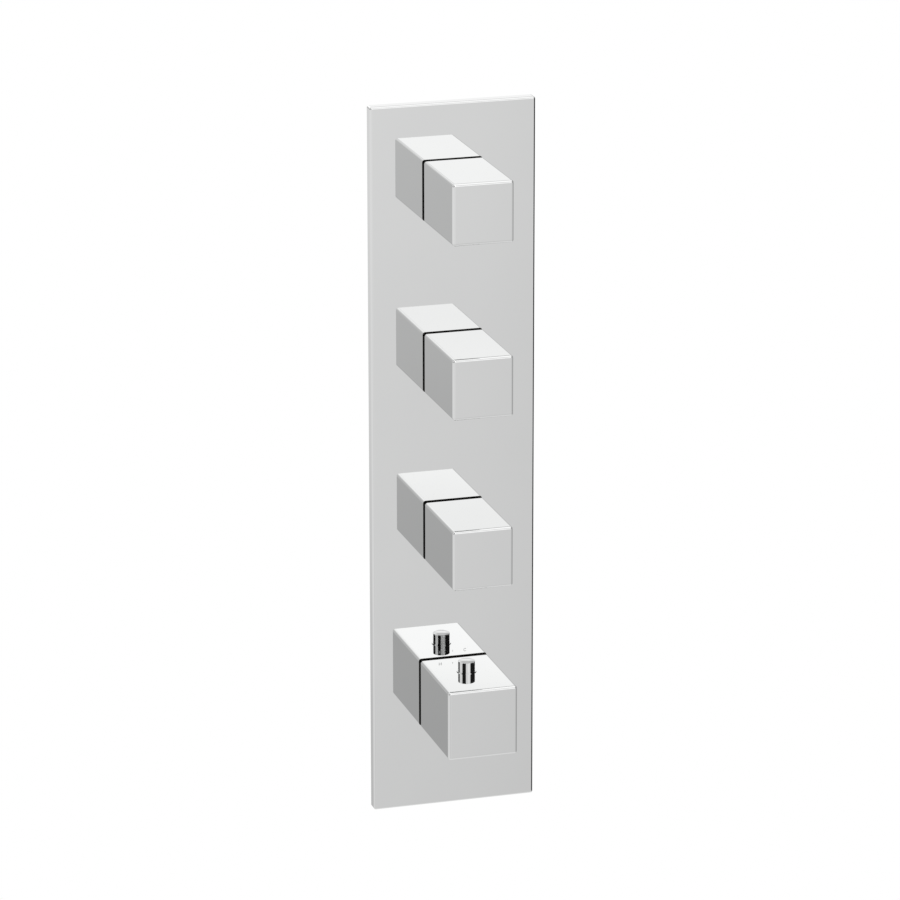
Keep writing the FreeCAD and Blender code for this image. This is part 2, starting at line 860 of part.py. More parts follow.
# ---- Check valves in the inlets ------------------------------------------------------
strainer_height = 2.5
cage_bottom = check_mouth + strainer_height
cage_top = check_top - hand_gap
poppet_seat = cage_bottom + 3.0
poppet_radius = check_radius - 3.2
poppet_top = poppet_seat + 2.5
poppet_stem = 1.5
guide_bottom = cage_top - 6.0
guide_top = guide_bottom + 2.0


def check_cage():
    outer = check_radius - seat_fit
    inner = poppet_radius + 0.7
    cage = turned_z([
        (poppet_radius - 1.8, cage_bottom), (outer, cage_bottom), (outer, cage_top),
        (inner, cage_top), (inner, poppet_seat), (poppet_radius - 1.8, poppet_seat),
    ])
    arms = [
        block(-inner - 0.5, inner + 0.5, -1.5, 1.5, guide_bottom, guide_top),
        block(-1.5, 1.5, -inner - 0.5, inner + 0.5, guide_bottom, guide_top),
        rod_z(poppet_stem + 1.5, guide_bottom, guide_top),
    ]
    return joined([cage] + arms).cut(rod_z(poppet_stem + running_fit, guide_bottom, guide_top))


def check_poppet():
    return turned_z([
        (0, poppet_seat), (poppet_radius, poppet_seat), (poppet_radius, poppet_top),
        (poppet_stem, poppet_top), (poppet_stem, guide_top), (0, guide_top),
    ])


def check_spring():
    return coil_z(poppet_stem + 1.6, 0.8, poppet_top, guide_bottom, 4)


def strainer():
    outer = check_radius - seat_fit
    ring = ring_z(outer, outer - 1.5, check_mouth, cage_bottom)
    bars = []
    for offset in (-4.5, 0, 4.5):
        reach = math.sqrt((outer - 0.7) ** 2 - offset ** 2)
        bars.append(block(-reach, reach, offset - 0.5, offset + 0.5, check_mouth, check_mouth + 1))
        bars.append(block(offset - 0.5, offset + 0.5, -reach, reach, check_mouth, check_mouth + 1))
    return joined([ring] + bars)


# ---- Write every sub-part ------------------------------------------------------------
os.makedirs("parts", exist_ok=True)

write("cover_plate", [cover_plate()])
write("plate_seal", [plate_seal()])
write("valve_body", [valve_body()])
write("gallery_plug", [gallery_plug()])
write("mounting_rail", [mounting_rail()])
write("rail_screws", rail_screws())

flow_pieces = {
    "bonnet": flow_bonnet(),
    "fixed_disc": fixed_disc(),
    "seat_seal": seat_seal(),
    "plate_nut": plate_nut(flow_neck, plate_nut_wall, flow_nut_front),
    "handle": flow_handle(),
    "insert": handle_insert(flow_drive_back, flow_drive_front),
    "spindle": flow_spindle(),
    "turning_disc": turning_disc(),
    "grub_screw": grub_screw(flow_drive_back, flow_drive_front),
}
for station, height in flow_stations.items():
    for piece, solid in flow_pieces.items():
        write(station + "_" + piece, [placed(solid, 0, 0, height)])

temperature_pieces = {
    "thermostat_bonnet": thermostat_bonnet(),
    "thermostat_plate_nut": plate_nut(thermostat_neck, thermostat_nut_wall, thermostat_nut_front),
    "stop_ring": stop_ring(),
    "mixing_sleeve": mixing_sleeve(),
    "temperature_handle": temperature_handle(),
    "temperature_insert": handle_insert(temperature_drive_back, temperature_drive_front),
    "temperature_spindle": temperature_spindle(),
    "temperature_grub_screw": grub_screw(temperature_drive_back, temperature_drive_front),
    "regulating_nut": regulating_nut(),
    "overload_spring": overload_spring(),
    "wax_element": wax_element(),
    "mixing_spool": mixing_spool(),
    "return_spring": return_spring(),
    "button_ring": button_ring(),
    "safety_button": safety_button(),
    "stop_latch": stop_latch(),
    "button_spring": button_spring(),
}
for piece, solid in temperature_pieces.items():
    write(piece, [placed(solid, 0, 0, temperature_z)])

seals = [placed(stem_seal(stem_radius, flow_neck_front), 0, 0, z) for z in flow_stations.values()]
seals.append(placed(stem_seal(temperature_stem, thermostat_neck_front), 0, 0, temperature_z))
write("stem_seals", seals)

for side, name in ((-1, "hot"), (1, "cold")):
    x = side * inlet_offset
    write(name + "_check_cage", [placed(check_cage(), x, inlet_depth, 0)])
    write(name + "_poppet", [placed(check_poppet(), x, inlet_depth, 0)])
    write(name + "_check_spring", [placed(check_spring(), x, inlet_depth, 0)])
write(
    "inlet_strainers",
    [placed(strainer(), side * inlet_offset, inlet_depth, 0) for side in (-1, 1)],
)
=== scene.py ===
# %% [markdown]
# # A concealed thermostatic shower valve in mirror chrome
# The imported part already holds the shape, the size and the joints of the valve. This lesson
# dresses it: it sets the camera, builds the studio that the chrome reflects, gives every
# piece its finish, and adds the small things that are too fine for the solids.
#
# All lengths are in metres: X to the right, Y into the wall, Z up.

# %% Load the frame
import bpy
import bmesh
import math
from mathutils import Matrix, Vector


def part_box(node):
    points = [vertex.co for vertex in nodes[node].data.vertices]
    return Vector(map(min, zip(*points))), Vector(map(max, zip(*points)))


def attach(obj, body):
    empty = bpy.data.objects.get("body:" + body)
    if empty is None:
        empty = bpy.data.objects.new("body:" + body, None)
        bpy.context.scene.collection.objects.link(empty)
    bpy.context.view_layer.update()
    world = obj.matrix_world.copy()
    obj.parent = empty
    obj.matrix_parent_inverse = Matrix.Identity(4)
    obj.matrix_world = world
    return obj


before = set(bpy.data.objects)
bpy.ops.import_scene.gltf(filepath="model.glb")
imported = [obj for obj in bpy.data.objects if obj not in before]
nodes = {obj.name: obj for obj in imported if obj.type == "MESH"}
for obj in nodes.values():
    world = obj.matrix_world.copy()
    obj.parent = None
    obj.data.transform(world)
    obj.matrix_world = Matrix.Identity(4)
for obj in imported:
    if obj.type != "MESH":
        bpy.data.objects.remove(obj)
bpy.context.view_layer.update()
mm = 0.001
full_turn = 2 * math.pi
print("pieces in the frame:", len(nodes))

# %% [markdown]
# ## Where things are
# The dressing has to sit on the solids: marks above a handle, threads in a bore, rings around
# an axis. The places could be typed in again, but then a change of size would leave them
# behind. So nearly all of them are read from the box of the piece that carries them, and only
# the few that no box shows are named here.

# %% Plate and handles
plate_low, plate_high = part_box("cover_plate")
plate_face = plate_low.y
flow_names = ("upper", "middle", "lower")
handle_names = [name + "_handle" for name in flow_names] + ["temperature_handle"]
handle_boxes = {name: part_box(name) for name in handle_names}
stations = {name: (low.z + high.z) / 2 for name, (low, high) in handle_boxes.items()}
for name, station in stations.items():
    print(name, "stands at z =", round(station, 4))

# %% Mouths of the body
body_low, body_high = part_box("valve_body")
outlet_depth = 36 * mm
outlet_bore = 9.32 * mm
outlet_outer = 14.52 * mm
outlet_thread = 14 * mm
inlet_bore = 12.06 * mm
inlet_outer = 16.0 * mm
inlet_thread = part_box("inlet_strainers")[0].z - body_low.z

along_x, along_y, along_z = Vector((1, 0, 0)), Vector((0, 1, 0)), Vector((0, 0, 1))
mouths = []
for name in flow_names:
    start = Vector((body_high.x, outlet_depth, stations[name + "_handle"]))
    mouths.append((name + "_outlet", start, -along_x, outlet_bore, outlet_thread))
for name in ("hot", "cold"):
    cage_low, cage_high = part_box(name + "_check_cage")
    start = (cage_low + cage_high) / 2
    start.z = body_low.z
    mouths.append((name + "_inlet", start, along_z, inlet_bore, inlet_thread))
print("mouths:", [name for name, *rest in mouths])

# %% [markdown]
# ## The camera
# A picture of a tall plate can be taken from close by, with strong perspective, or from far
# away through a long lens. The catalogue picture has nearly parallel edges, so the camera
# stands three metres away, a little to the left and above. It looks along three angles, and
# its place is worked out backwards from where the middle of the plate should appear.

# %% Camera
camera_bearing = math.radians(16.57)
camera_pitch = math.radians(17.07)
camera_roll = math.radians(0.067)
camera_distance = 3.0942
plate_right_of_middle = 2.365 * mm
plate_below_middle = 6.385 * mm
lens_length = 188.66
sensor_width = 36.0

forward = Vector((
    math.sin(camera_bearing) * math.cos(camera_pitch),
    math.cos(camera_bearing) * math.cos(camera_pitch),
    -math.sin(camera_pitch),
))
level_right = Vector((math.cos(camera_bearing), -math.sin(camera_bearing), 0.0))
level_down = forward.cross(level_right)
right = level_right * math.cos(camera_roll) + level_down * math.sin(camera_roll)
down = forward.cross(right)
target = Vector((0.0, plate_face, 0.0))
place = target - right * plate_right_of_middle - down * plate_below_middle
place = place - forward * camera_distance

camera_data = bpy.data.cameras.new("camera")
camera_data.lens = lens_length
camera_data.sensor_width = sensor_width
camera = bpy.data.objects.new("camera", camera_data)
bpy.context.scene.collection.objects.link(camera)
axes = Matrix((right, -down, -forward)).transposed().to_4x4()
camera.matrix_world = Matrix.Translation(place) @ axes
bpy.context.scene.camera = camera
print("camera at", [round(value, 3) for value in place])

# %% [markdown]
# ## Helpers for shader nodes
# Every finish below is a small graph of nodes. Written out in full, each graph would be a
# page of links, so these helpers add a node and fill its sockets in one call. A value that is
# itself a socket is linked, and any other value is set.

# %% Nodes and arithmetic
def fill(tree, socket, value):
    """Link a socket to another socket, or give it a plain value."""
    if isinstance(value, bpy.types.NodeSocket):
        tree.links.new(value, socket)
    else:
        socket.default_value = value


def add(tree, kind, sockets=None, **settings):
    """Add a node, set its properties, and fill its sockets, named or numbered."""
    node = tree.nodes.new("ShaderNode" + kind)
    for key, value in settings.items():
        setattr(node, key, value)
    for key, value in (sockets or {}).items():
        fill(tree, node.inputs[key], value)
    return node


def calc(tree, operation, *values):
    """One step of arithmetic."""
    return add(tree, "Math", dict(enumerate(values)), operation=operation).outputs[0]


def product(tree, first, second):
    return calc(tree, "MULTIPLY", first, second)


def vector_step(tree, operation, *values):
    """One step of vector arithmetic; returns the node's outputs, Vector and Value."""
    return add(tree, "VectorMath", dict(enumerate(values)), operation=operation).outputs


def parts_of(tree, vector):
    """The three parts of a vector."""
    return add(tree, "SeparateXYZ", {"Vector": vector}).outputs


def position(tree):
    """The place of the shaded point, in the frame of its own piece."""
    return add(tree, "TexCoord").outputs["Object"]


print("helpers for single nodes ready")

# %% Masks and blends
def between(tree, value, low, high, at_low=0.0, at_high=1.0):
    """Go smoothly from at_low to at_high as the value goes from low to high."""
    values = {"Value": value, "From Min": low, "From Max": high}
    values |= {"To Min": at_low, "To Max": at_high}
    return add(tree, "MapRange", values, interpolation_type="SMOOTHSTEP").outputs["Result"]


def window(tree, value, low, low_full, high_full, high):
    """One inside low_full...high_full, falling smoothly to nothing at low and at high."""
    rising = between(tree, value, low, low_full)
    falling = between(tree, value, high_full, high, 1.0, 0.0)
    return product(tree, rising, falling)


def blend(tree, mask, first, second):
    """Go from the first value to the second as the mask goes from nothing to one."""
    values = {"Factor": mask, "A": first, "B": second}
    return add(tree, "Mix", values, data_type="FLOAT").outputs["Result"]


def colour_mix(tree, mask, first, second):
    """Go from the first colour to the second; the colour sockets of this node are numbered."""
    return add(tree, "Mix", {0: mask, 6: first, 7: second}, data_type="RGBA").outputs[2]


print("helpers for masks ready")

# %% Node groups
def start_group(name, output, **inputs):
    """A node group with one number as output; returns its tree, its inputs and that output."""
    tree = bpy.data.node_groups.new(name, "ShaderNodeTree")
    for label, value in inputs.items():
        kind = "NodeSocketVector" if isinstance(value, Vector) else "NodeSocketFloat"
        tree.interface.new_socket(label, in_out="INPUT", socket_type=kind).default_value = value
    tree.interface.new_socket(output, in_out="OUTPUT", socket_type="NodeSocketFloat")
    given = tree.nodes.new("NodeGroupInput").outputs
    result = tree.nodes.new("NodeGroupOutput").inputs[output]
    return tree, given, result


def place_group(tree, group, **values):
    """Put a node group into a material and return its output."""
    return add(tree, "Group", values, node_tree=group).outputs[0]


print("helpers for groups ready")

# %% [markdown]
# ## The studio that the chrome sees
# A mirror has no colour of its own: what shows is the room around it. That room can be built
# from panels and cards, or wrapped around the scene as a picture. Here the world shader works
# it out from the direction of the mirror ray, because then the light on one face of one
# handle can be tuned without moving anything else, and no picture is needed.
#
# A photographer's rules fill it. Bright panels hang above for the tops, and the black gaps
# between them give the round button its stripes. In front lies a pale floor that darkens
# slowly towards the valve, for the faces. Darker walls stand at eye level at both sides, so
# that the edges are drawn when the valve is seen from straight ahead.
#
# Bearing is the angle to the right of straight ahead, seen from the valve, in degrees.
# Height is the sine of the angle above the horizon.

# %% Levels around the room
brightest = 2.4
around_above = [
    (-180, 1.60), (-165, 1.50), (-125, 1.30), (-77, 1.35), (-73, 0.02), (-27, 0.02),
    (-20, 1.42), (12, 1.45), (14.5, 1.97), (18.5, 1.97), (21, 1.50), (33, 1.40), (42, 0.02),
    (136, 0.02), (142, 1.00), (152, 1.24), (172, 1.26),
]
around_below = [
    (-180, 1.00), (-155, 1.00), (-135, 1.06), (-60, 1.08), (-30, 1.08), (-23, 1.00),
    (-10, 1.00), (-3, 1.07), (8, 1.05), (14, 1.02), (15.6, 1.00), (17, 0.974), (17.6, 0.912),
    (19.5, 0.92), (35, 0.88), (60, 0.72), (90, 0.50), (135, 0.45), (150, 0.60), (172, 1.00),
]
around_eye_level = [
    (-180, 0.90), (-140, 0.50), (-100, 0.42), (-52, 0.50), (-34, 1.00), (34, 1.00),
    (50, 0.55), (66, 0.70), (86, 1.25), (120, 1.25), (145, 0.80), (179, 0.90),
]
print("stops around the room:", len(around_above), len(around_below), len(around_eye_level))

# %% [markdown]
# The levels by height multiply the levels around the room. The front levels are for the
# plate and the handles' front faces. The side levels are for the handles' left sides, whose
# mirror rays meet the plate first, and the strip levels are for the plate's own left edge.
# The gap levels let a little light into the black gaps, away from what the button looks at.

# %% Levels by height
above_by_height = [
    (0.10, 1.00), (0.24, 0.985), (0.267, 0.955), (0.272, 0.972), (0.299, 1.035), (0.307, 0.955),
    (0.318, 0.99), (0.325, 1.03), (0.330, 1.17), (0.3345, 1.15), (0.338, 1.02), (0.36, 0.98),
    (0.40, 0.62), (0.68, 0.62),
]
gap_by_height = [
    (0.22, 0.50), (0.31, 0.45), (0.324, 0.00), (0.352, 0.00), (0.37, 0.40), (0.60, 0.60),
]
front_by_height = [
    (-0.70, 0.90), (-0.37, 0.915), (-0.3487, 0.932), (-0.3258, 0.954), (-0.3153, 0.966),
    (-0.2935, 0.974), (-0.281, 0.981), (-0.2588, 0.9985), (-0.2451, 1.02), (-0.20, 1.04),
    (0.10, 1.04),
]
side_by_height = [
    (-0.70, 0.75), (-0.37, 0.73), (-0.343, 0.766), (-0.308, 0.814), (-0.273, 0.94),
    (-0.237, 1.01), (-0.20, 1.06),
]
strip_by_height = [
    (-0.60, 0.80), (-0.38, 0.65), (-0.3487, 0.67), (-0.3236, 0.745), (-0.2954, 0.81),
    (-0.2669, 0.855), (-0.2424, 0.91),
]
rim_panel_level = 2.10
straight_down_level = 1.04
ceiling_level = 1.55
print("stops by height:", len(above_by_height), len(front_by_height), len(side_by_height))


# %% Ramps
def turn_of(bearing):
    """A bearing in degrees as a place between 0 and 1, with straight ahead in the middle."""
    return bearing / 360 + 0.5


def ramp(tree, value, stops):
    """A level that goes in straight lines from stop to stop, each at a place between 0 and 1."""
    node = add(tree, "ValToRGB", {"Fac": value})
    elements = node.color_ramp.elements
    elements.remove(elements[1])
    for index, (stop, level) in enumerate(stops):
        element = elements[0] if index == 0 else elements.new(stop)
        element.position = stop
        shade = level / brightest
        element.color = (shade, shade, shade, 1.0)
    return product(tree, node.outputs["Color"], brightest)


def by_bearing(tree, turn, stops):
    """The level at a bearing."""
    return ramp(tree, turn, [(turn_of(bearing), level) for bearing, level in stops])


def by_height(tree, height, stops):
    """The level at a height; heights run from -1 to 1 and a ramp from 0 to 1."""
    halved = calc(tree, "MULTIPLY_ADD", height, 0.5, 0.5)
    return ramp(tree, halved, [(stop / 2 + 0.5, level) for stop, level in stops])


print("brightest level", brightest)

# %% Direction of the ray
world = bpy.data.worlds.new("studio")
bpy.context.scene.world = world
world.use_nodes = True
tree = world.node_tree
tree.nodes.clear()
ray_x, ray_y, height = parts_of(tree, add(tree, "TexCoord").outputs["Generated"])
bearing = calc(tree, "ARCTAN2", ray_x, product(tree, ray_y, -1.0))
turn = calc(tree, "MULTIPLY_ADD", bearing, 1 / full_turn, 0.5)
print("straight ahead is at turn", turn_of(0))

# %% The room above
around = by_bearing(tree, turn, around_above)
above = product(tree, around, by_height(tree, height, above_by_height))
above = calc(tree, "MAXIMUM", above, by_height(tree, height, gap_by_height))
in_front = window(tree, turn, turn_of(-12.96), turn_of(-7.2), turn_of(10.8), turn_of(14.4))
over_the_gaps = between(tree, height, 0.348, 0.362)
above = blend(tree, product(tree, in_front, over_the_gaps), above, rim_panel_level)
print("nodes for the room above:", len(tree.nodes))

# %% The room below
seen_by_sides = window(tree, turn, turn_of(-27), turn_of(-21.96), turn_of(-11.16), turn_of(-6.12))
seen_by_strip = between(tree, turn, turn_of(-161.28), turn_of(-153), 1.0, 0.0)
front_level = by_height(tree, height, front_by_height)
side_level = by_height(tree, height, side_by_height)
strip_level = by_height(tree, height, strip_by_height)
floor_level = blend(tree, seen_by_sides, front_level, side_level)
floor_level = blend(tree, seen_by_strip, floor_level, strip_level)
below = product(tree, by_bearing(tree, turn, around_below), floor_level)
is_straight_down = between(tree, height, -0.55, -0.80)
below = blend(tree, is_straight_down, below, straight_down_level)
print("nodes with the room below:", len(tree.nodes))

# %% The whole room
is_above = between(tree, height, 0.13, 0.21)
walls = blend(tree, is_above, below, above)
at_eye_level = window(tree, height, -0.19, -0.11, 0.07, 0.15)
dusk = product(tree, walls, by_bearing(tree, turn, around_eye_level))
walls = blend(tree, at_eye_level, walls, dusk)
is_ceiling = between(tree, height, 0.72, 0.82)
room = blend(tree, is_ceiling, walls, ceiling_level)
seen_by_camera = add(tree, "LightPath").outputs["Is Camera Ray"]
shown = blend(tree, seen_by_camera, room, 1.0)
background = add(tree, "Background", {"Color": (1, 1, 1, 1), "Strength": shown})
output = add(tree, "OutputWorld", {"Surface": background.outputs["Background"]})
bpy.context.scene.view_settings.view_transform = "Standard"
print("nodes in the studio:", len(tree.nodes))

# %% [markdown]
# ## Floor
# The valve hangs on a wall at about chest height, so the floor lies well below it. The chrome
# takes its view of the floor from the world, where it can be tuned. So this one is hidden from
# mirror rays, and from the camera too, which keeps plain white all round also when the valve
# is looked at from underneath. What it does is throw soft light up onto the dull metals. A
# faint glow in its paint makes them a touch lighter still when they are seen from behind.

# %% Floor
floor_drop = 1.1
floor_reach = 9.0
floor_sides = 96
floor_glow = 0.35


def stage_paint(name, shade, roughness):
    """A dull paint without shine, for what stands around the valve."""
    material = bpy.data.materials.new(name)
    material.use_nodes = True
    shader = material.node_tree.nodes["Principled BSDF"]
    shader.inputs["Base Color"].default_value = (shade, shade, shade, 1.0)
    shader.inputs["Roughness"].default_value = roughness
    shader.inputs["Specular IOR Level"].default_value = 0.0
    return material


floor_mesh = bpy.data.meshes.new("floor")
maker = bmesh.new()
bmesh.ops.create_circle(maker, cap_ends=True, radius=floor_reach, segments=floor_sides)
maker.to_mesh(floor_mesh)
maker.free()
floor_paint = stage_paint("floor_paint", 0.86, 0.8)
tree = floor_paint.node_tree
sockets = tree.nodes["Principled BSDF"].inputs
sockets["Emission Color"].default_value = (1.0, 1.0, 1.0, 1.0)
rays = add(tree, "LightPath").outputs
seen_directly = calc(tree, "MAXIMUM", rays["Is Camera Ray"], rays["Is Transmission Ray"])
fill(tree, sockets["Emission Strength"], product(tree, seen_directly, floor_glow))
floor_mesh.materials.append(floor_paint)
floor = bpy.data.objects.new("floor", floor_mesh)
floor.location.z = -floor_drop
floor.visible_glossy = False
floor.visible_camera = False
bpy.context.scene.collection.objects.link(floor)
print("floor", floor_drop, "m below the middle of the plate")

# %% [markdown]
# ## Black card
# Bright metal on white paper loses its outline. A photographer stands a narrow black card
# just outside the frame, so that the rounded edge beside it mirrors a dark line. The plate's
# right edge needs one, because its round turns through the whole bright room. Darkening the
# room there would also darken the handles, and a painted line would be a lie under other
# light. So the card is real, only mirror rays see it, and its paper is clear to any ray that
# has come further than from the edge beside it.

# %% Black card
card_gap = 2.5 * mm
card_front = plate_face - 4.5 * mm
card_back = plate_face + 1.5 * mm
card_reach = 12 * mm
card_x = plate_high.x + card_gap
card_corners = [
    (card_x, card_front, plate_low.z), (card_x, card_back, plate_low.z),
    (card_x, card_back, plate_high.z), (card_x, card_front, plate_high.z),
]
card_mesh = bpy.data.meshes.new("black_card")
card_mesh.from_pydata(card_corners, [], [(0, 1, 2, 3)])
card_paper = stage_paint("card_paper", 0.02, 0.9)
tree = card_paper.node_tree
ray_length = add(tree, "LightPath").outputs["Ray Length"]
is_near = calc(tree, "LESS_THAN", ray_length, card_reach)
fill(tree, tree.nodes["Principled BSDF"].inputs["Alpha"], is_near)
card_mesh.materials.append(card_paper)
card = bpy.data.objects.new("black_card", card_mesh)
card.visible_camera = False
card.visible_diffuse = False
card.visible_transmission = False
card.visible_shadow = False
bpy.context.scene.collection.objects.link(card)
print("black card", round(card_back - card_front, 4), "m wide")

# %% [markdown]
# ## Lamp
# The room alone would light the dull metals evenly from all sides. One large soft lamp, high
# on the left and in front, gives them a lighter and a darker side. It is hidden from mirror
# rays, so that the chrome shows no disc.

# %% Lamp
lamp_place = Vector((-1.3, -1.6, 1.9))
lamp_data = bpy.data.lights.new("soft_lamp", "AREA")
lamp_data.shape = "DISK"
lamp_data.size = 1.2
lamp_data.energy = 12.0
lamp = bpy.data.objects.new("soft_lamp", lamp_data)
towards_valve = (-lamp_place).to_track_quat("-Z", "Y").to_matrix().to_4x4()
lamp.matrix_world = Matrix.Translation(lamp_place) @ towards_valve
lamp.visible_glossy = False
bpy.context.scene.collection.objects.link(lamp)
print("lamp", round(lamp_place.length, 2), "m from the valve")

# %% [markdown]
# ## Effects that several finishes share
# Real surfaces carry traces of how they were made. Each trace could be drawn again in every
# finish, but then the same graph would be copied many times. So each effect is one node
# group. It gives out only a mask or a height, and the finish decides what to do with it.
#
# * Cloud: slow mottling, for haze on polish, tarnish on brass and stains on steel.
# * Skin: the fine grain of a sand casting, a moulding or a rubber.
# * Tool rings: the grooves that a lathe leaves around one axis, on flats and on barrels.
# * Machined: a mask of the outermost faces of the body, where the casting has been faced off.
# * Inside box: a mask of what lies inside a box, for the unpolished hollow of a casting, which in the
#   handles is painted shade.
# * Inside bore: a mask of the wall of a round bore, which a drill leaves brighter.

# %% Cloud
cloud, given, result = start_group("cloud", "Mask", Size=0.02, Contrast=0.5)
noise = {"Vector": position(cloud), "Scale": calc(cloud, "DIVIDE", 1.0, given["Size"])}
noise |= {"Detail": 5.0, "Roughness": 0.55}
waves = add(cloud, "TexNoise", noise).outputs["Fac"]
low_edge = calc(cloud, "MULTIPLY_ADD", given["Contrast"], -0.4, 0.5)
high_edge = calc(cloud, "MULTIPLY_ADD", given["Contrast"], 0.4, 0.5)
fill(cloud, result, between(cloud, waves, low_edge, high_edge))
print("group", cloud.name)

# %% Skin
skin, given, result = start_group("skin", "Height", Grain=0.0005, Pits=0.3)
where = position(skin)
fine = calc(skin, "DIVIDE", 1.0, given["Grain"])
coarse = product(skin, fine, 0.27)
grains = add(skin, "TexNoise", {"Vector": where, "Scale": fine, "Detail": 2.0}).outputs["Fac"]
lumps = add(skin, "TexNoise", {"Vector": where, "Scale": coarse, "Detail": 3.0}).outputs["Fac"]
pits = add(skin, "TexVoronoi", {"Vector": where, "Scale": coarse}).outputs["Distance"]
pits = product(skin, between(skin, pits, 0.05, 0.25, -1.0, 0.0), given["Pits"])
fill(skin, result, calc(skin, "ADD", calc(skin, "ADD", grains, lumps), pits))
print("group", skin.name)

# %% Tool rings
origin = Vector((0, 0, 0))
tool_rings, given, result = start_group(
    "tool_rings", "Height", Centre=origin, Axis=along_y, Pitch=0.0004,
)
where = position(tool_rings)
arm = vector_step(tool_rings, "SUBTRACT", where, given["Centre"])["Vector"]
along = vector_step(tool_rings, "DOT_PRODUCT", arm, given["Axis"])["Value"]
reach = vector_step(tool_rings, "LENGTH", arm)["Value"]
across = calc(tool_rings, "POWER", reach, 2.0)
across = calc(tool_rings, "SUBTRACT", across, calc(tool_rings, "POWER", along, 2.0))
across = calc(tool_rings, "SQRT", calc(tool_rings, "MAXIMUM", across, 0.0))
feed = calc(tool_rings, "DIVIDE", calc(tool_rings, "ADD", across, along), given["Pitch"])
wobble = add(tool_rings, "TexNoise", {"Vector": where, "Scale": 90.0}).outputs["Fac"]
feed = calc(tool_rings, "MULTIPLY_ADD", wobble, 0.7, feed)
groove = calc(tool_rings, "SINE", product(tool_rings, feed, full_turn))
fill(tool_rings, result, calc(tool_rings, "MULTIPLY_ADD", groove, 0.5, 0.5))
print("group", tool_rings.name)

# %% Machined
machined, given, result = start_group(
    "machined", "Mask",
    Front=body_low.y + 0.3 * mm, Right=body_high.x - 0.2 * mm,
    Bottom=body_low.z + 0.2 * mm, Back=body_high.y - 0.3 * mm,
)
x, y, z = parts_of(machined, position(machined))
front = calc(machined, "LESS_THAN", y, given["Front"])
side = calc(machined, "GREATER_THAN", x, given["Right"])
under = calc(machined, "LESS_THAN", z, given["Bottom"])
rear = calc(machined, "GREATER_THAN", y, given["Back"])
mask = calc(machined, "MAXIMUM", front, side)
mask = calc(machined, "MAXIMUM", mask, calc(machined, "MAXIMUM", under, rear))
fill(machined, result, mask)
print("group", machined.name)

# %% Inside box
inside_box, given, result = start_group(
    "inside_box", "Mask", Middle=origin, Half=Vector((0.01, 0.01, 0.01)),
)
arm = vector_step(inside_box, "SUBTRACT", position(inside_box), given["Middle"])["Vector"]
arm = vector_step(inside_box, "ABSOLUTE", arm)["Vector"]
left_over = vector_step(inside_box, "SUBTRACT", given["Half"], arm)["Vector"]
x, y, z = parts_of(inside_box, left_over)
least = calc(inside_box, "MINIMUM", calc(inside_box, "MINIMUM", x, y), z)
fill(inside_box, result, calc(inside_box, "GREATER_THAN", least, 0.0))
print("group", inside_box.name)

# %% Inside bore
mouth_margin = -0.1 * mm
inside_bore, given, result = start_group(
    "inside_bore", "Mask", Mouth=origin, Inward=along_z, Radius=0.01, Depth=0.01,
)
arm = vector_step(inside_bore, "SUBTRACT", position(inside_bore), given["Mouth"])["Vector"]
along = vector_step(inside_bore, "DOT_PRODUCT", arm, given["Inward"])["Value"]
across = vector_step(inside_bore, "CROSS_PRODUCT", arm, given["Inward"])["Vector"]
across = vector_step(inside_bore, "LENGTH", across)["Value"]
within = calc(inside_bore, "LESS_THAN", across, given["Radius"])
within = product(inside_bore, within, calc(inside_bore, "LESS_THAN", along, given["Depth"]))
within = product(inside_bore, within, calc(inside_bore, "GREATER_THAN", along, mouth_margin))
fill(inside_bore, result, within)
print("group", inside_bore.name)

# %% [markdown]
# ## Helpers for finishes
# A finish is a Principled shader whose colour, roughness and normal come from the groups.
# What is the same all over, such as whether it is metal, is set on the shader itself. Fine
# relief could be modelled, but grains far smaller than a pixel would cost millions of faces,
# so a Bump node tilts the light instead.

# %% Finish helpers
def start_finish(name, metallic=0.0):
    """A new material; returns it, its tree and the sockets of its Principled shader."""
    material = bpy.data.materials.new(name)
    material.use_nodes = True
    tree = material.node_tree
    sockets = tree.nodes["Principled BSDF"].inputs
    sockets["Metallic"].default_value = metallic
    return material, tree, sockets


def colour_and_gloss(tree, sockets, colour, roughness):
    """Link a colour and a roughness to the shader."""
    fill(tree, sockets["Base Color"], colour)
    fill(tree, sockets["Roughness"], roughness)


def bumped(tree, sockets, height, depth, strength):
    """Feed a height through a Bump node into the shader's normal."""
    bump = add(tree, "Bump", {"Height": height, "Distance": depth, "Strength": strength})
    fill(tree, sockets["Normal"], bump.outputs["Normal"])


def shaded(colour, share):
    """A share of a colour, fully opaque."""
    return tuple(value * share for value in colour[:3]) + (1.0,)


def dress(node_names, material):
    """Give a finish to pieces of the frame."""
    for name in node_names:
        mesh = nodes[name].data
        mesh.materials.clear()
        mesh.materials.append(material)


print("finish helpers ready")

# %% [markdown]
# ## Mirror chrome
# The plate and handles are buffed brass or zinc under bright chrome. A mirror needs little:
# a cool grey metal, almost no roughness, and a faint cloud of polishing haze so that the
# reflection is not perfectly even. Inside a hollow casting the plating is never buffed, so there it
# is dull.
# The plate keeps a mid grey there, but inside each handle and along the last fraction of a millimetre
# of its back the colour is painted shade, far darker than raw plating, so that the thin gap behind
# each handle looks black.
# The inside could be a second material on chosen faces, but the faces of the solids are left
# alone. A box that reaches almost to the skin of the piece finds the inside instead.

# %% Mirror chrome
chrome_grey = (0.633, 0.636, 0.634, 1.0)
haze_grey = (0.626, 0.629, 0.628, 1.0)
# painted shade: the handles' hollow and back band are this dark so that the gap behind each handle
# looks black
painted_gap_shade = (0.060, 0.058, 0.054, 1.0)
far_away = 1.0


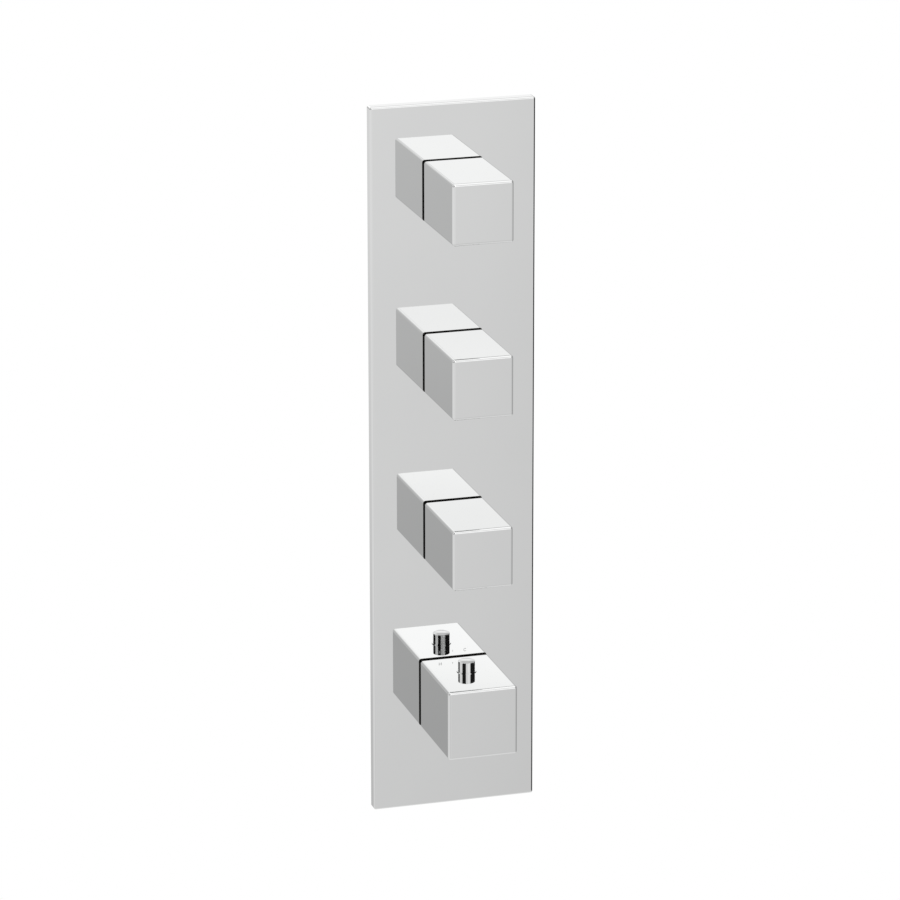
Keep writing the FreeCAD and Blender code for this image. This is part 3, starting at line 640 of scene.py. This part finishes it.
def mirror_chrome(name, hollow_low, hollow_high, gap_shade_edge=far_away, raw_and_shade=painted_gap_shade):
    """Chrome that is dull inside a box and behind the shade edge, coloured there in a raw grey or in
    painted shade.
    """
    material, tree, sockets = start_finish(name, metallic=1.0)
    low, high = Vector(hollow_low), Vector(hollow_high)
    hollow = place_group(tree, inside_box, Middle=(low + high) / 2, Half=(high - low) / 2)
    # the band behind this edge is painted shade for the dark gap behind a handle
    in_gap_shade = calc(tree, "GREATER_THAN", parts_of(tree, position(tree))["Y"], gap_shade_edge)
    hollow = calc(tree, "MAXIMUM", hollow, in_gap_shade)

    haze = place_group(tree, cloud, Size=0.03, Contrast=0.9)
    blotch = place_group(tree, cloud, Size=0.012, Contrast=0.9)
    polished = colour_mix(tree, haze, chrome_grey, haze_grey)
    unpolished_and_shade = colour_mix(tree, blotch, raw_and_shade, shaded(raw_and_shade, 0.75))
    colour = colour_mix(tree, hollow, polished, unpolished_and_shade)

    speck = place_group(tree, cloud, Size=0.0012, Contrast=0.4)
    rough = calc(tree, "MULTIPLY_ADD", haze, 0.010, 0.012)
    rough = calc(tree, "MULTIPLY_ADD", speck, 0.004, rough)
    rough = calc(tree, "MULTIPLY_ADD", hollow, 0.45, rough)
    colour_and_gloss(tree, sockets, colour, rough)

    grain = place_group(tree, skin, Grain=0.0009, Pits=0.4)
    grain = product(tree, product(tree, grain, hollow), 12.0)
    bumped(tree, sockets, calc(tree, "ADD", haze, grain), 0.004 * mm, 0.15)
    return material


print("chrome mirrors", chrome_grey[0], "of the light")

# %% Chrome on the plate, the handles and the button
plate_rim = 3 * mm
plate_skin = 3.6 * mm
behind_plate = 5 * mm
plate_raw_grey = (0.36, 0.36, 0.35, 1.0)
hollow_low = (plate_low.x + plate_rim, -plate_skin, plate_low.z + plate_rim)
hollow_high = (plate_high.x - plate_rim, behind_plate, plate_high.z - plate_rim)
dress(["cover_plate"], mirror_chrome("plate_chrome", hollow_low, hollow_high, raw_and_shade=plate_raw_grey))

handle_skin = Vector((1, 1, 1)) * 0.85 * mm
# the last part of each handle's back is painted shade, so the gap to the plate looks black
gap_shade_depth = 0.42 * mm
for name, (low, high) in handle_boxes.items():
    hollow_high = (high.x - handle_skin.x, high.y, high.z - handle_skin.z)
    gap_shade_edge = high.y - gap_shade_depth
    dress([name], mirror_chrome(name + "_chrome", low + handle_skin, hollow_high, gap_shade_edge))

solid = Vector((far_away, far_away, far_away))
dress(["safety_button", "button_ring"], mirror_chrome("button_chrome", solid, solid * 1.1))
print("mirror chrome on", 3 + len(handle_boxes), "pieces")

# %% [markdown]
# ## Cast brass
# The body is sand cast and shot blasted, which leaves a dull yellow skin with small pits.
# Only its mouths, seats and outermost faces are machined bright. A second material would
# need the faces to be sorted by hand. Masks made from planes and bores do the sorting in the
# shader, and follow the body when it changes.

# %% Cast brass
bore_margin = 0.2 * mm


def cast_brass(mouths):
    """A blasted casting with tarnish, bright and smooth where it has been machined."""
    material, tree, sockets = start_finish("cast_brass", metallic=1.0)
    faced = place_group(tree, machined)
    for name, start, inward, bore, length in mouths:
        radius = bore + bore_margin
        wall = place_group(tree, inside_bore, Mouth=start, Inward=inward, Radius=radius, Depth=length)
        faced = calc(tree, "MAXIMUM", faced, wall)

    tarnish = place_group(tree, cloud, Size=0.035, Contrast=0.8)
    dull = colour_mix(tree, tarnish, (0.44, 0.30, 0.13, 1.0), (0.70, 0.52, 0.26, 1.0))
    colour = colour_mix(tree, faced, dull, (0.83, 0.64, 0.33, 1.0))
    blasted = calc(tree, "MULTIPLY_ADD", tarnish, 0.12, 0.42)
    rough = calc(tree, "MULTIPLY_ADD", faced, -0.24, blasted)
    colour_and_gloss(tree, sockets, colour, rough)

    grain = place_group(tree, skin, Grain=0.0007, Pits=0.7)
    rings = place_group(tree, tool_rings, Centre=origin, Axis=along_x, Pitch=0.0005)
    shallower = calc(tree, "MULTIPLY_ADD", faced, -0.8, 1.0)
    height = product(tree, blend(tree, faced, grain, rings), shallower)
    bumped(tree, sockets, height, 0.30 * mm, 0.8)
    return material


body_brass = cast_brass(mouths)
dress(["valve_body"], body_brass)
print("cast brass on the body, machined in", len(mouths), "mouths")

# %% [markdown]
# ## Turned brass
# The plug, the bonnets, the spindles and what sits on them are turned from bar, so they carry
# fine rings around their own axis. The rings could be an image wrapped around each piece. A
# wave of the distance from the axis needs no wrapping, and runs on from barrel to flat.

# %% Turned brass
def turned_brass(name, centre, axis):
    """Bright brass with tool rings around the axis through a centre."""
    material, tree, sockets = start_finish(name, metallic=1.0)
    tarnish = place_group(tree, cloud, Size=0.012, Contrast=0.7)
    colour = colour_mix(tree, tarnish, (0.84, 0.65, 0.34, 1.0), (0.76, 0.56, 0.27, 1.0))
    colour_and_gloss(tree, sockets, colour, calc(tree, "MULTIPLY_ADD", tarnish, 0.10, 0.17))
    rings = place_group(tree, tool_rings, Centre=centre, Axis=axis, Pitch=0.00035)
    bumped(tree, sockets, rings, 0.02 * mm, 0.6)
    return material


def axis_of(handle):
    """The place where a handle's axis meets the wall."""
    return along_z * stations[handle]


plug_low, plug_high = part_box("gallery_plug")
dress(["gallery_plug"], turned_brass("plug_brass", (plug_low + plug_high) / 2, along_z))
for name in flow_names:
    brass = turned_brass(name + "_brass", axis_of(name + "_handle"), along_y)
    dress([name + "_bonnet", name + "_spindle", name + "_insert"], brass)
cartridge_brass = turned_brass("cartridge_brass", axis_of("temperature_handle"), along_y)
cartridge = ["thermostat_bonnet", "temperature_spindle", "temperature_insert", "regulating_nut"]
dress(cartridge, cartridge_brass)
print("turned brass on", 1 + 3 * len(flow_names) + len(cartridge), "pieces")

# %% [markdown]
# ## Galvanised steel
# The rail is folded from galvanised sheet, whose zinc sets in flat crystals a few millimetres
# wide. A photograph of such sheet would be quicker, but the lesson uses no pictures. Cells of
# a Voronoi texture look the same once slow noise bends their straight edges.

# %% Galvanised steel
def galvanised_steel():
    """Zinc crystals that differ a little in tone and gloss, with slow stains over them."""
    material, tree, sockets = start_finish("galvanised_steel", metallic=1.0)
    where = position(tree)
    bend = add(tree, "TexNoise", {"Vector": where, "Scale": 140.0}).outputs["Color"]
    where = vector_step(tree, "MULTIPLY_ADD", bend, (4 * mm,) * 3, where)["Vector"]
    flakes = add(tree, "TexVoronoi", {"Vector": where, "Scale": 170.0}).outputs["Color"]
    tone = add(tree, "SeparateColor", {"Color": flakes}).outputs["Red"]
    stain = place_group(tree, cloud, Size=0.05, Contrast=0.7)
    zinc = colour_mix(tree, tone, (0.50, 0.53, 0.56, 1.0), (0.66, 0.68, 0.70, 1.0))
    colour = colour_mix(tree, stain, zinc, (0.56, 0.58, 0.60, 1.0))
    colour_and_gloss(tree, sockets, colour, calc(tree, "MULTIPLY_ADD", tone, 0.16, 0.30))
    bumped(tree, sockets, tone, 0.02 * mm, 0.5)
    return material


dress(["mounting_rail"], galvanised_steel())
print("galvanised steel on the rail")

# %% [markdown]
# ## Stainless and satin steel
# Screws, springs and strainers are plain stainless, and the plate nuts have a satin plating.
# The rail screws have a cross recess. It could be cut from the solid, but at this size only
# its dark shape is seen, so the finish paints the shade of the recess as a black cross on the front
# of each head.

# %% Plain steel
def plain_steel(name, shade, rough):
    """Steel with faint stains and a fine grain."""
    material, tree, sockets = start_finish(name, metallic=1.0)
    stain = place_group(tree, cloud, Size=0.006, Contrast=0.8)
    colour = colour_mix(tree, stain, shade, shaded(shade, 0.86))
    colour_and_gloss(tree, sockets, colour, calc(tree, "MULTIPLY_ADD", stain, 0.08, rough))
    grain = place_group(tree, skin, Grain=0.0002, Pits=0.1)
    bumped(tree, sockets, grain, 0.015 * mm, 0.5)
    return material


stainless_grey = (0.56, 0.57, 0.58, 1.0)
stainless_rough = 0.24
grub_screws = ["temperature_grub_screw"] + [name + "_grub_screw" for name in flow_names]
spring_names = ("overload", "return", "button", "hot_check", "cold_check")
springs = [name + "_spring" for name in spring_names]
stainless = plain_steel("stainless", stainless_grey, stainless_rough)
dress(grub_screws + springs + ["inlet_strainers"], stainless)
plate_nuts = ["thermostat_plate_nut"] + [name + "_plate_nut" for name in flow_names]
dress(plate_nuts, plain_steel("satin_plate", (0.60, 0.60, 0.61, 1.0), 0.20))
print("plain steel on", len(grub_screws + springs + plate_nuts) + 1, "pieces")

# %% Rail screws
head_radius = 4.3 * mm
slot_half_width = 0.45 * mm
slot_half_length = 2.2 * mm
slot_depth = 0.05 * mm
# painted shade: the black that the recess of a cross head would show under light
painted_recess_shade = (0.03, 0.03, 0.03, 1.0)


def cross_screw(centre_x, heights, head_front):
    """Stainless with a black cross of painted recess shade on the front of four heads, two at each
    height.
    """
    material = plain_steel("cross_screw", stainless_grey, stainless_rough)
    tree = material.node_tree
    x, y, z = parts_of(tree, position(tree))
    across = calc(tree, "SUBTRACT", calc(tree, "ABSOLUTE", x), centre_x)
    across = calc(tree, "ABSOLUTE", across)
    ups = [calc(tree, "ABSOLUTE", calc(tree, "SUBTRACT", z, height)) for height in heights]
    up = calc(tree, "MINIMUM", *ups)
    is_narrow = calc(tree, "LESS_THAN", calc(tree, "MINIMUM", across, up), slot_half_width)
    is_short = calc(tree, "LESS_THAN", calc(tree, "MAXIMUM", across, up), slot_half_length)
    is_front = calc(tree, "LESS_THAN", y, head_front + slot_depth)
    recess = product(tree, product(tree, is_narrow, is_short), is_front)
    colour = tree.nodes["Principled BSDF"].inputs["Base Color"]
    steel = colour.links[0].from_socket
    fill(tree, colour, colour_mix(tree, recess, steel, painted_recess_shade))
    return material


screws_low, screws_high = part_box("rail_screws")
screw_heights = (screws_low.z + head_radius, screws_high.z - head_radius)
screw_steel = cross_screw(screws_high.x - head_radius, screw_heights, screws_low.y)
dress(["rail_screws"], screw_steel)
print("cross recesses at z =", [round(height, 4) for height in screw_heights])

# %% [markdown]
# ## Ceramic, rubber and plastic
# These pieces sit inside the brass and are seen only when the valve is taken apart. Lapped
# ceramic, moulded rubber and moulded plastic differ in colour, gloss and size of grain, and
# in little else. So one recipe with these values serves all four, instead of four graphs.

# %% Ceramic, rubber and plastic
def moulded(name, shade, second_shade, rough, grain_size):
    """A material that isn't metal, with two close shades and a fine grain."""
    material, tree, sockets = start_finish(name)
    cloudy = place_group(tree, cloud, Size=0.008, Contrast=0.8)
    colour = colour_mix(tree, cloudy, shade, second_shade)
    colour_and_gloss(tree, sockets, colour, calc(tree, "MULTIPLY_ADD", cloudy, 0.08, rough))
    grain = place_group(tree, skin, Grain=grain_size, Pits=0.2)
    bumped(tree, sockets, grain, 0.03 * mm, 0.5)
    return material


ceramic = moulded(
    "fired_ceramic", (0.90, 0.88, 0.82, 1.0), (0.86, 0.84, 0.79, 1.0), 0.12, 0.0003,
)
rubber = moulded(
    "seal_rubber", (0.020, 0.020, 0.021, 1.0), (0.034, 0.034, 0.034, 1.0), 0.62, 0.0004,
)
acetal = moulded(
    "white_acetal", (0.82, 0.82, 0.79, 1.0), (0.76, 0.76, 0.73, 1.0), 0.36, 0.0004,
)
nylon = moulded(
    "black_nylon", (0.030, 0.030, 0.033, 1.0), (0.050, 0.050, 0.052, 1.0), 0.46, 0.0004,
)
discs = [name + disc for name in flow_names for disc in ("_fixed_disc", "_turning_disc")]
dress(discs, ceramic)
dress(["plate_seal", "stem_seals"] + [name + "_seat_seal" for name in flow_names], rubber)
dress(["hot_check_cage", "cold_check_cage", "hot_poppet", "cold_poppet", "mixing_spool"], acetal)
dress(["stop_ring", "stop_latch", "mixing_sleeve"], nylon)
print("ceramic on", len(discs), "discs")

# %% [markdown]
# ## Copper
# The wax element is a drawn copper cup that is closed on a lathe. Bare copper would be pink,
# but it goes brown in warm air, so a tarnish lies over faint rings around its axis.

# %% Copper
def drawn_copper():
    """Warm copper with a brown tarnish and faint rings."""
    material, tree, sockets = start_finish("drawn_copper", metallic=1.0)
    tarnish = place_group(tree, cloud, Size=0.009, Contrast=0.8)
    colour = colour_mix(tree, tarnish, (0.78, 0.42, 0.27, 1.0), (0.52, 0.27, 0.17, 1.0))
    colour_and_gloss(tree, sockets, colour, calc(tree, "MULTIPLY_ADD", tarnish, 0.15, 0.22))
    centre = axis_of("temperature_handle")
    rings = place_group(tree, tool_rings, Centre=centre, Axis=along_y, Pitch=0.0005)
    bumped(tree, sockets, rings, 0.01 * mm, 0.5)
    return material


dress(["wax_element"], drawn_copper())
bare = [name for name, piece in nodes.items() if not piece.data.materials]
print("pieces without a finish:", bare)

# %% [markdown]
# ## Strokes
# Letters and arrows on such a valve are engraved, printed or cast. Text objects would bring a
# typeface along, with curves far finer than the mark. Here a mark is a few centre lines. Each
# line is given a width and round ends, and is then raised from the face that carries it.

# %% Centre lines
arc_opening = 48
arc_steps = 18
arc_widening = 1.15


def stroke_points(kind, width, height):
    """The centre lines of a mark, as lists of (across, up) points around its own middle."""
    half_wide = width / 2
    half_high = height / 2
    if kind == "H":
        return [
            [(-half_wide, -half_high), (-half_wide, half_high)],
            [(half_wide, -half_high), (half_wide, half_high)],
            [(-half_wide, 0.0), (half_wide, 0.0)],
        ]
    if kind == "tick":
        return [[(0.0, -half_high * 0.45), (0.0, half_high * 0.45)]]
    if kind == "arrow":
        return [
            [(0.0, -half_high), (0.0, half_high)],
            [(-half_wide, half_high * 0.2), (0.0, half_high)],
            [(half_wide, half_high * 0.2), (0.0, half_high)],
        ]
    arc = []
    for step in range(arc_steps + 1):
        angle = math.radians(arc_opening + (360 - 2 * arc_opening) * step / arc_steps)
        across = half_wide * arc_widening * math.cos(angle)
        arc.append((across, half_high * math.sin(angle)))
    return [arc]


print("strokes in an H:", len(stroke_points("H", 1.0, 1.0)))

# %% Outline of a stroke
cap_steps = 6


def round_end(centre, start):
    """The points of a half circle around a centre, after its start."""
    arm = start - centre
    turns = [math.pi * step / cap_steps for step in range(1, cap_steps)]
    return [centre + Matrix.Rotation(-angle, 2) @ arm for angle in turns]


def stroke_outline(points, width):
    """The closed outline of a stroke of even width with round ends."""
    left_side, right_side = [], []
    last = len(points) - 1
    for index, point in enumerate(points):
        before = Vector(points[max(index - 1, 0)])
        after = Vector(points[min(index + 1, last)])
        along = (after - before).normalized()
        across = Vector((-along.y, along.x)) * (width / 2)
        left_side.append(Vector(point) + across)
        right_side.append(Vector(point) - across)
    end_cap = round_end(Vector(points[-1]), left_side[-1])
    start_cap = round_end(Vector(points[0]), right_side[0])
    return left_side + end_cap + right_side[::-1] + start_cap


print("points around a straight stroke:", len(stroke_outline([(0, 0), (0, 1)], 0.1)))

# %% Raised marks
def raised(outline, middle, across, up, sink, proud, maker):
    """Raise an outline from inside a face to just proud of it; across and up lie in it."""
    outward = across.cross(up)
    rings = []
    for lift in (-sink, proud):
        base = middle + outward * lift
        rings.append([maker.verts.new(base + across * p.x + up * p.y) for p in outline])
    back, front = rings
    maker.faces.new(front)
    maker.faces.new(back[::-1])
    count = len(outline)
    for index in range(count):
        ahead = (index + 1) % count
        maker.faces.new((back[index], back[ahead], front[ahead], front[index]))


def finish_piece(name, maker, material):
    """Turn a bmesh into a piece that rides on the valve's fixed body."""
    bmesh.ops.recalc_face_normals(maker, faces=maker.faces)
    mesh = bpy.data.meshes.new(name)
    maker.to_mesh(mesh)
    maker.free()
    mesh.materials.append(material)
    piece = bpy.data.objects.new(name, mesh)
    bpy.context.scene.collection.objects.link(piece)
    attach(piece, "valve")
    print(name, "faces", len(mesh.polygons))


def write_mark(name, kind, size, stroke, middle, across, up, lift, material):
    """Make one mark; size is (width, height) and lift is (sink, proud)."""
    maker = bmesh.new()
    for points in stroke_points(kind, *size):
        raised(stroke_outline(points, stroke), middle, across, up, *lift, maker)
    finish_piece(name, maker, material)


print("mark helpers ready")

# %% [markdown]
# ## The marks above the temperature handle
# Three tiny marks are cut into the plate just above the handle and filled with grey enamel:
# H on the hot side, C on the cold side, and a tick between them at the blended setting. A
# real groove would have to be cut from the solid. A ridge that stands a hair's breadth clear
# of the chrome looks the same, and can be moved without touching the plate.

# %% Enamel
def enamel():
    """Grey stove enamel, a little uneven in shade and gloss."""
    material, tree, sockets = start_finish("mark_enamel")
    cloudy = place_group(tree, cloud, Size=0.0007, Contrast=0.6)
    colour = colour_mix(tree, cloudy, (0.30, 0.30, 0.305, 1.0), (0.38, 0.38, 0.385, 1.0))
    colour_and_gloss(tree, sockets, colour, calc(tree, "MULTIPLY_ADD", cloudy, 0.15, 0.35))
    return material


mark_enamel = enamel()
print("material", mark_enamel.name)

# %% Marks on the plate
mark_size = (1.5 * mm, 1.9 * mm)
mark_stroke = 0.26 * mm
mark_lift = (0.10 * mm, 0.04 * mm)
mark_rise = 4.2 * mm
mark_offset = 8.6 * mm
mark_shift = -0.8 * mm
mark_z = handle_boxes["temperature_handle"][1].z + mark_rise
for kind, offset in (("H", -mark_offset), ("tick", 0.0), ("C", mark_offset)):
    middle = Vector((mark_shift + offset, plate_face, mark_z))
    placing = (mark_stroke, middle, along_x, along_z, mark_lift)
    write_mark("mark_" + kind, kind, mark_size, *placing, mark_enamel)

# %% [markdown]
# ## Cast marks on the brass
# A foundry casts the letters of the two waters and the arrows of the flow into the back of
# the body, where the fitter reads them. Here they are the same strokes, only larger, and sunk
# deep enough to grow out of the round walls of the tubes as a cast letter does.

# %% Cast marks
cast_size = (3.6 * mm, 5.0 * mm)
cast_stroke = 0.9 * mm
cast_lift = (0.8 * mm, 0.5 * mm)
letter_from_mouth = 22 * mm
arrow_from_mouth = 12 * mm
outlet_arrow_from_mouth = 10 * mm
mouth_starts = {name: start for name, start, *rest in mouths}
for water, letter in (("hot", "H"), ("cold", "C")):
    back = mouth_starts[water + "_inlet"] + along_y * inlet_outer
    placing = (cast_stroke, back + along_z * letter_from_mouth, -along_x, along_z, cast_lift)
    write_mark("cast_" + letter, letter, cast_size, *placing, body_brass)
    placing = (cast_stroke, back + along_z * arrow_from_mouth, -along_x, along_z, cast_lift)
    write_mark("cast_arrow_" + water, "arrow", cast_size, *placing, body_brass)
for name in flow_names:
    back = mouth_starts[name + "_outlet"] + along_y * outlet_outer
    back = back - along_x * outlet_arrow_from_mouth
    placing = (cast_stroke, back, along_z, along_x, cast_lift)
    write_mark("cast_arrow_" + name, "arrow", cast_size, *placing, body_brass)

# %% [markdown]
# ## Pipe threads
# The five mouths take pipes with the standard pipe thread, which a tap cuts into the bore. In
# the solids the bores are plain, and a scene can't cut them. So each thread is one pointed
# ridge that winds along the wall of its bore, at the real distance from turn to turn.

# %% Pipe threads
thread_pitch = 1.814 * mm
thread_depth = 0.55 * mm
thread_root = 0.05 * mm
steps_per_turn = 40
half_base = thread_pitch * 0.40
half_crest = half_base * 0.2
thread_clear = thread_pitch * 0.75


def pipe_thread(name, start, inward, bore, length, material):
    """One ridge of pointed section that winds along the wall of a bore."""
    side_one = along_y
    side_two = inward.cross(side_one)
    root, crest = bore + thread_root, bore - thread_depth
    section = [(root, -half_base), (crest, -half_crest), (crest, half_crest), (root, half_base)]
    steps = int((length - 2 * thread_clear) / thread_pitch * steps_per_turn)
    maker = bmesh.new()
    loops = []
    for step in range(steps + 1):
        angle = full_turn * step / steps_per_turn
        arm = side_one * math.cos(angle) + side_two * math.sin(angle)
        centre = start + inward * (thread_clear + thread_pitch * step / steps_per_turn)
        places = [centre + arm * radius + inward * shift for radius, shift in section]
        loops.append([maker.verts.new(place) for place in places])
    for behind, ahead in zip(loops, loops[1:]):
        for index in range(len(section)):
            after = (index + 1) % len(section)
            maker.faces.new((behind[index], behind[after], ahead[after], ahead[index]))
    maker.faces.new(loops[0])
    maker.faces.new(loops[-1][::-1])
    finish_piece(name, maker, material)


thread_brass = turned_brass("thread_brass", origin, along_y)
for name, start, inward, bore, length in mouths:
    pipe_thread("thread_" + name, start, inward, bore, length, thread_brass)
